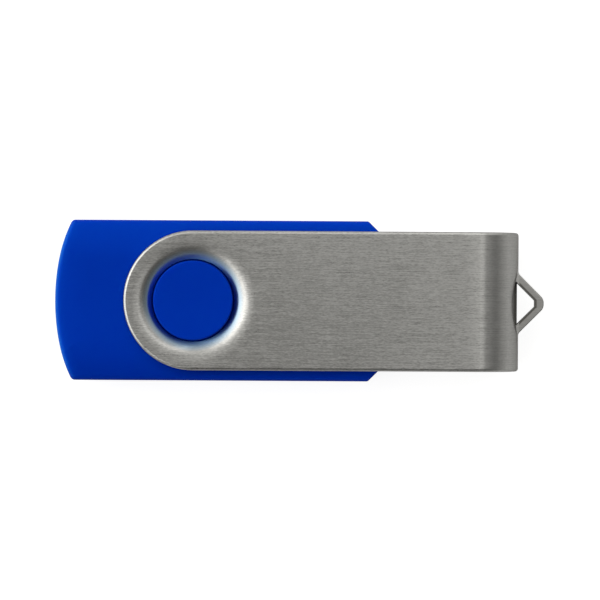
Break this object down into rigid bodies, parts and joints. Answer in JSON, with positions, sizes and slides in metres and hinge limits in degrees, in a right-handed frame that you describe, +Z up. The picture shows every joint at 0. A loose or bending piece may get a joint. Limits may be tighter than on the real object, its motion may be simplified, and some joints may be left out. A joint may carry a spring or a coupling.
{
  "type": "usb flash drive",
  "caption": "Pocket flash drive: flat plastic body with a rectangular plug, covered by a folded sheet-steel clip that swivels about a round boss and carries a lanyard loop.",
  "frame": {"origin": "centre of the bounding box's bottom face; the drive lies flat on its clip, closed", "axes": "+X along the drive from the rounded end of the body to the lanyard loop, +Y across the broad face, +Z up out of the broad face"},
  "size_m": [0.058, 0.019, 0.01],
  "materials": {
    "body_plastic": "fine satin blue",
    "clip_steel": "brushed lengthwise, tumbled edges",
    "plug_steel": "nickel plated",
    "insulator_plastic": "white, moulded",
    "contact_gilt": "gold flash",
    "board_laminate": "green solder mask",
    "chip_epoxy": "moulded black epoxy",
    "lead_tin": "tinned",
    "can_nickel": "drawn nickel-plated can",
    "led_epoxy": "clear resin on a white base",
    "capacitor_ceramic": "fired ceramic",
    "resistor_film": "coated black top on ceramic",
    "solder": "bright solder"
  },
  "bodies": {
    "drive": {"upper_housing": "body_plastic", "lower_housing": "body_plastic", "plug_shell": "plug_steel", "plug_insulator": "insulator_plastic", "plug_contacts": "contact_gilt", "circuit_board": "board_laminate", "flash_memory_chip": "chip_epoxy", "flash_memory_leads": "lead_tin", "controller_chip": "chip_epoxy", "controller_leads": "lead_tin", "crystal_can": "can_nickel", "crystal_leads": "lead_tin", "status_led": "led_epoxy", "voltage_regulator": "chip_epoxy", "regulator_leads": "lead_tin", "capacitors": "capacitor_ceramic", "capacitor_terminals": "lead_tin", "resistors": "resistor_film", "resistor_terminals": "lead_tin", "solder_joints": "solder"},
    "clip": {"swivel_clip": "clip_steel"}
  },
  "joints": [
    {"name": "clip_swivel", "type": "hinge", "parent": "drive", "child": "clip", "pos_m": [-0.01265, 0, 0.005], "axis": [0, 0, 1], "continuous": true}
  ]
}
